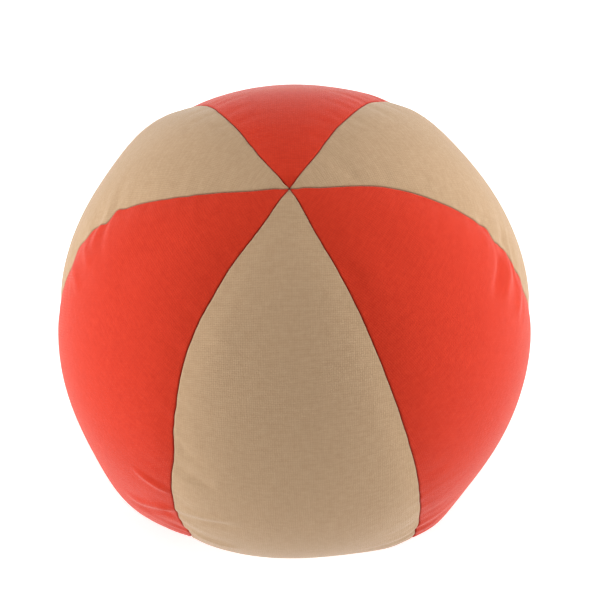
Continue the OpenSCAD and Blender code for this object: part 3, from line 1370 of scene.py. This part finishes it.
@dataclass
class MilletFill:
    """The settled grain fill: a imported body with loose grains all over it."""

    form: BallForm
    grain_radius: float = 0.95 * MM
    spacing: float = 2.0 * MM
    cloth: float = 0.40 * MM
    slack: float = 0.15 * MM
    allowance: float = 4.5 * MM
    slot_half: float = 0.85 * MM
    rows: int = 84
    columns: int = 240
    fullness: float = 0.94

    def core(self) -> bpy.types.Mesh:
        """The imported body, slotted where the seams' turned-in edges stand.

        Returns:
            The mesh.
        """
        form = self.form
        polar = np.linspace(0.0, math.pi, self.rows + 2)[1:-1, None]
        turn = (np.arange(self.columns) + 0.5) / self.columns * math.tau
        p, a = np.broadcast_arrays(polar, turn[None, :])
        inset = self.cloth + self.slack + self.grain_radius
        slot = np.zeros(p.shape)
        for seam in form.seams:
            aside = np.abs(form.from_seam(seam, p, a))
            edge = self.slot_half + self.grain_radius
            slot = np.maximum(slot, 1.0 - smooth_step(aside, edge, edge + 0.8 * MM))
        fade = smooth_step(np.sin(p), 0.02, 0.1)
        out = form.plain_distance(p, a) - inset - slot * fade * (self.allowance + self.slack)
        down = np.maximum(-np.cos(p), 1e-6)
        floor = np.where(down > 0.05, (form.centre_z - inset) / down, 10.0)
        out = np.minimum(out, floor)
        points = form.centre + out[..., None] * form.towards(p, a)
        wide, count = self.columns, self.rows * self.columns
        ends = form.centre + np.array([[0, 0, form.radius - inset], [0, 0, inset - form.centre_z]])
        faces: list[tuple[int, ...]] = []
        for i in range(self.rows - 1):
            for j in range(wide):
                k = (j + 1) % wide
                faces.append((i * wide + j, (i + 1) * wide + j, (i + 1) * wide + k, i * wide + k))
        last = count - wide
        for j in range(wide):
            k = (j + 1) % wide
            faces.append((count, j, k))
            faces.append((count + 1, last + k, last + j))
        mesh = bpy.data.meshes.new("millet_core")
        mesh.from_pydata(np.vstack([points.reshape(-1, 3), ends]).tolist(), [], faces)
        return mesh

    def build(self, tree: GeometryTree, finish: bpy.types.Material) -> bpy.types.Object:
        """Makes the fill."""
        values = {"Grain Radius": self.grain_radius, "Spacing": self.spacing, "Seed": 5, "Material": finish}
        return tree.apply(self.core(), FILL_PIECE, values)

    def dress(self, piece: bpy.types.Object, finish: bpy.types.Material) -> None:
        """Finishes the fill."""
        settle(piece, finish, ("millet_fill",))


# ---------------------------------------------------------------------------------------------------------
# Stage
# ---------------------------------------------------------------------------------------------------------


@dataclass(frozen=True)
class Softbox:
    """A large soft light. Azimuth and height are degrees, and the rest is metres and watts."""

    name: str
    azimuth: float
    height: float
    away: float
    width: float
    tall: float
    watts: float


@dataclass
class Studio:
    """The plain pale stage: white paper, soft light and the camera."""

    target: Vector
    ball_radius: float
    camera_azimuth: float = 2.5
    camera_height: float = 57.6
    camera_roll: float = -3.0
    camera_away: float = 9.0
    frame_share: float = 0.799
    look_right: float = 0.025
    look_up: float = 0.092
    sensor: float = 36.0
    softboxes: tuple[Softbox, ...] = (
        Softbox("softbox_left", -92.0, 6.0, 0.55, 0.5, 0.5, 5.0),
        Softbox("softbox_right", 92.0, 6.0, 0.55, 0.5, 0.5, 4.0),
        Softbox("softbox_top", 0.0, 78.0, 0.55, 0.5, 0.5, 1.4),
        Softbox("softbox_front", -45.0, 4.0, 0.55, 0.5, 0.5, 0.3),
        Softbox("softbox_back", 180.0, 60.0, 0.55, 0.5, 0.5, 0.15),
        Softbox("softbox_back_right", 135.0, 20.0, 0.55, 0.5, 0.5, 1.2),
    )
    surround: float = 0.0

    def way(self, azimuth: float, height: float) -> Vector:
        """Direction from the ball towards an azimuth and height."""
        a, e = math.radians(azimuth), math.radians(height)
        return Vector((math.sin(a) * math.cos(e), -math.cos(a) * math.cos(e), math.sin(e)))

    def place_camera(self) -> None:
        """Makes the camera and points it so that the ball sits a little low and left in the frame."""
        data = bpy.data.cameras.new("camera")
        camera = bpy.data.objects.new("camera", data)
        bpy.context.scene.collection.objects.link(camera)
        bpy.context.scene.camera = camera
        edge = 1.0 / math.sqrt(self.camera_away**2 - 1.0)
        data.sensor_width = self.sensor
        data.lens = self.sensor / 2 * self.frame_share / edge
        data.clip_start = 0.01
        data.clip_end = 20.0
        back = self.way(self.camera_azimuth, self.camera_height)
        turn = back.to_track_quat("Z", "Y")
        roll = Matrix.Rotation(math.radians(self.camera_roll), 4, "Z")
        facing = turn.to_matrix().to_4x4() @ roll
        right = facing.col[0].to_3d()
        up = facing.col[1].to_3d()
        aim = self.target + self.ball_radius * (right * self.look_right + up * self.look_up)
        camera.matrix_world = Matrix.Translation(aim + back * self.camera_away * self.ball_radius) @ facing

    def lay_floor(self) -> None:
        """Lays a wide sheet of white paper under the ball."""
        half = 3.0
        drop = -0.02 * MM
        corners = [(-half, -half, drop), (half, -half, drop), (half, half, drop), (-half, half, drop)]
        mesh = bpy.data.meshes.new("paper")
        mesh.from_pydata(corners, [], [(0, 1, 2, 3)])
        mesh.materials.append(FloorFinish("white_paper", (0.93, 0.93, 0.93, 1.0), 0.55).build())
        floor = bpy.data.objects.new("paper", mesh)
        bpy.context.scene.collection.objects.link(floor)

    def light(self) -> None:
        """Sets up the softboxes and the even light of the white room."""
        for box in self.softboxes:
            data = bpy.data.lights.new(box.name, "AREA")
            data.shape = "RECTANGLE"
            data.size, data.size_y = box.width, box.tall
            data.energy = box.watts
            lamp = bpy.data.objects.new(box.name, data)
            back = self.way(box.azimuth, box.height)
            lamp.location = self.target + back * box.away
            lamp.rotation_mode = "QUATERNION"
            lamp.rotation_quaternion = back.to_track_quat("Z", "Y")
            bpy.context.scene.collection.objects.link(lamp)
        world = bpy.data.worlds.new("white_room")
        world.use_nodes = True
        ground = world.node_tree.nodes["Background"]
        ground.inputs["Color"].default_value = (1.0, 1.0, 1.0, 1.0)
        ground.inputs["Strength"].default_value = self.surround
        bpy.context.scene.world = world
        bpy.context.scene.view_settings.view_transform = "Standard"


# ---------------------------------------------------------------------------------------------------------
# The ball
# ---------------------------------------------------------------------------------------------------------

GORE_NAMES = (
    ("front_tan_gore", Cotton.TAN),
    ("right_front_red_gore", Cotton.RED),
    ("right_back_tan_gore", Cotton.TAN),
    ("back_red_gore", Cotton.RED),
    ("left_back_tan_gore", Cotton.TAN),
    ("left_front_red_gore", Cotton.RED),
)


def ball_seams() -> tuple[Seam, ...]:
    """The six seams in order, counted anticlockwise from the front gore's right.

    Returns:
        The seams.
    """
    short_trim, round_trim = 5.0 * MM, 1.0 * MM
    front_right = Seam(
        "front_right", 0,
        (Sway(78, -0.26 * MM, 9), Sway(40, -0.1 * MM, 9), Sway(10, 0.3 * MM, 10), Sway(-12, 0.8 * MM, 14)),
        (Gather(-22, 0.24 * MM, 15), Gather(20, 0.01 * MM, 30)), 0.7, short_trim, -0.5)
    round_right = Seam(
        "round_right", 1,
        (Sway(84, -0.45 * MM, 7), Sway(62, 1.65 * MM, 17), Sway(41, 1.5 * MM, 13), Sway(37, 0.6 * MM, 2.4),
         Sway(34, -0.5 * MM, 2.0), Sway(29, 0.6 * MM, 3.5), Sway(14, -0.9 * MM, 8)),
        (Gather(26, 0.16 * MM, 13), Gather(-25, 0.18 * MM, 22)), 2.9, round_trim, -0.9)
    back_right = Seam(
        "back_right", 2,
        (Sway(79, -0.42 * MM, 9), Sway(44, 0.7 * MM, 12)),
        (Gather(5, 0.18 * MM, 25),), 5.3, short_trim, 0.4)
    back_left = Seam(
        "back_left", 3,
        (Sway(80, 0.55 * MM, 10), Sway(44, -0.7 * MM, 12)),
        (Gather(-5, 0.20 * MM, 25),), 1.9, short_trim, -0.4)
    round_left = Seam(
        "round_left", 4,
        (Sway(83, 0.4 * MM, 7), Sway(44, -2.9 * MM, 19), Sway(46, -0.45 * MM, 2.2), Sway(42, 0.5 * MM, 2.0),
         Sway(36, -0.75 * MM, 2.4), Sway(30, -1.1 * MM, 3.0)),
        (Gather(34, 0.17 * MM, 13), Gather(-32, 0.24 * MM, 20)), 4.1, round_trim, 0.9)
    front_left = Seam(
        "front_left", 5,
        (Sway(68, -0.35 * MM, 7), Sway(50, -1.75 * MM, 17), Sway(38, -0.3 * MM, 8),
         Sway(19, 0.3 * MM, 5), Sway(28, -0.25 * MM, 6), Sway(-8, 0.7 * MM, 16), Sway(-17, 0.9 * MM, 8)),
        (Gather(-15, 0.24 * MM, 10), Gather(30, 0.01 * MM, 30)), 3.3, short_trim, 0.6)
    return (front_right, round_right, back_right, back_left, round_left, front_left)


def ball_lumps() -> tuple[Lump, ...]:
    """Where the fill has settled fuller or slacker than a true sphere.

    Returns:
        The lumps.
    """
    return (
        Lump(-47, -23, 1.35 * MM, 13),
        Lump(34, -27, 1.60 * MM, 12),
        Lump(146, 27, 0.95 * MM, 13),
        Lump(-140, 26, 1.15 * MM, 12),
        Lump(1, -34, -0.50 * MM, 11),
        Lump(-24, -32, 0.30 * MM, 8),
        Lump(21, -32, 0.15 * MM, 8),
        Lump(-95, 4, -0.25 * MM, 16),
        Lump(120, -30, 0.8 * MM, 16),
        Lump(-150, -28, 0.9 * MM, 16),
    )


def ball_creases() -> tuple[Crease, ...]:
    """The single ridges and grooves in the cloth.

    Returns:
        The creases.
    """
    return (
        Crease((-40.0, 7.5), (-29.0, 6.0), 0.34 * MM, 0.7 * MM),
        Crease((-43.0, -9.5), (-28.0, -0.5), 0.42 * MM, 0.7 * MM),
        Crease((-41.0, -12.5), (-28.0, -3.0), -0.30 * MM, 0.8 * MM),
        Crease((-30.0, 17.0), (-18.0, 14.7), -0.26 * MM, 1.1 * MM),
        Crease((-30.0, 23.0), (-21.0, 21.5), -0.16 * MM, 1.3 * MM),
        Crease((-28.0, 0.0), (-12.0, 4.7), 0.15 * MM, 0.8 * MM),
        Crease((-27.0, -2.5), (-13.0, 2.0), -0.22 * MM, 0.8 * MM),
        Crease((-27.0, -12.5), (-14.0, -12.9), 0.30 * MM, 1.0 * MM),
        Crease((-94.0, 33.5), (-83.0, 36.5), 0.24 * MM, 0.8 * MM),
        Crease((-91.0, 27.0), (-80.0, 31.0), 0.22 * MM, 0.8 * MM),
        Crease((-68.0, 65.0), (-76.0, 49.0), -0.16 * MM, 2.6 * MM),
        Crease((-76.0, 51.0), (-66.0, 43.0), -0.14 * MM, 2.6 * MM),
        Crease((89.0, 31.5), (74.0, 33.0), -0.36 * MM, 0.9 * MM),
        Crease((89.0, 27.5), (76.0, 28.5), 0.24 * MM, 0.9 * MM),
        Crease((89.0, 20.5), (77.0, 20.8), 0.26 * MM, 0.9 * MM),
        Crease((98.0, 28.0), (89.0, 31.5), -0.30 * MM, 0.9 * MM),
        Crease((99.0, 39.5), (91.0, 39.0), -0.16 * MM, 1.1 * MM),
        Crease((31.0, 67.5), (40.0, 62.0), -0.16 * MM, 1.2 * MM),
        Crease((60.0, 69.0), (52.0, 52.0), -0.12 * MM, 2.8 * MM),
        Crease((-30.0, 52.0), (-18.0, 49.0), 0.10 * MM, 2.2 * MM),
    )


def ball_threads(form: BallForm, sewing: "Sewing") -> list[SeamThread]:
    """All eleven sewing threads.

    Args:
        form: The ball's form.
        sewing: Where the stitching starts and stops.

    Returns:
        Needle and bobbin thread of each machined seam, then the hand-sewn closing thread.
    """
    radius = form.radius
    start, end = sewing.pole_trim / radius, math.pi - sewing.pole_trim / radius
    threads: list[SeamThread] = []
    for seam in form.seams:
        if seam.name.startswith("round"):
            continue
        whole = (Stretch(seam, start, end),)
        for kind, yarn, side in (("needle", Yarn.TAN, Side.CLOCKWISE),
                                 ("bobbin", Yarn.RED, Side.ANTICLOCKWISE)):
            threads.append(SeamThread(f"{seam.name}_{kind}_thread", yarn, side, whole, form))
    right, left = form.seams[1], form.seams[4]
    low, high = sewing.gap_middle - sewing.gap / 2 / radius, sewing.gap_middle + sewing.gap / 2 / radius
    tip = sewing.tip_trim / radius
    loop = (Stretch(left, low, tip, -1), Stretch(right, tip, math.pi - tip),
            Stretch(left, math.pi - tip, high, -1))
    threads.append(SeamThread("round_seam_needle_thread", Yarn.TAN, Side.CLOCKWISE, loop, form))
    threads.append(SeamThread("round_seam_bobbin_thread", Yarn.RED, Side.ANTICLOCKWISE, loop, form))
    across = (Stretch(left, low, high),)
    threads.append(SeamThread("closing_thread", Yarn.TAN, Side.CLOCKWISE, across, form,
                              stitch=sewing.hand_stitch, both_sides=True))
    return threads


@dataclass(frozen=True)
class Sewing:
    """Where the stitching starts and stops, in metres and radians."""

    pole_trim: float = 5.0 * MM
    tip_trim: float = 1.0 * MM
    gap: float = 28.0 * MM
    gap_middle: float = math.radians(90.0 + 33.0)
    hand_stitch: float = 3.0 * MM


def main() -> None:
    """Builds the stage and the ball, piece by piece."""
    logging.basicConfig(level=logging.INFO, format="%(name)s: %(message)s")
    lo, hi = CAD_BOX
    radius = (hi.x - lo.x) / 2
    centre_z = hi.z - radius
    form = BallForm(radius, centre_z, ball_seams(), ball_lumps(), ball_creases())

    studio = Studio(Vector((0.0, 0.0, centre_z)), radius)
    studio.place_camera()
    studio.lay_floor()
    studio.light()

    finishes = {slot: finish.build() for slot, finish in FINISHES.items()}
    cover = CoverCloth(form)
    cover.blow_up()
    form.slack = cover
    for number, (name, cloth) in enumerate(GORE_NAMES):
        gore = Gore(number, name, cloth, form)
        gore.dress(gore.build(), finishes[cloth.value])
    stitches = stitch_tree()
    for thread in ball_threads(form, Sewing()):
        finish = finishes[thread.yarn.value]
        thread.dress(thread.build(stitches, finish), finish)
    fill = MilletFill(form)
    fill.dress(fill.build(grain_tree(), finishes["millet"]), finishes["millet"])


if __name__ == "__main__":
    main()
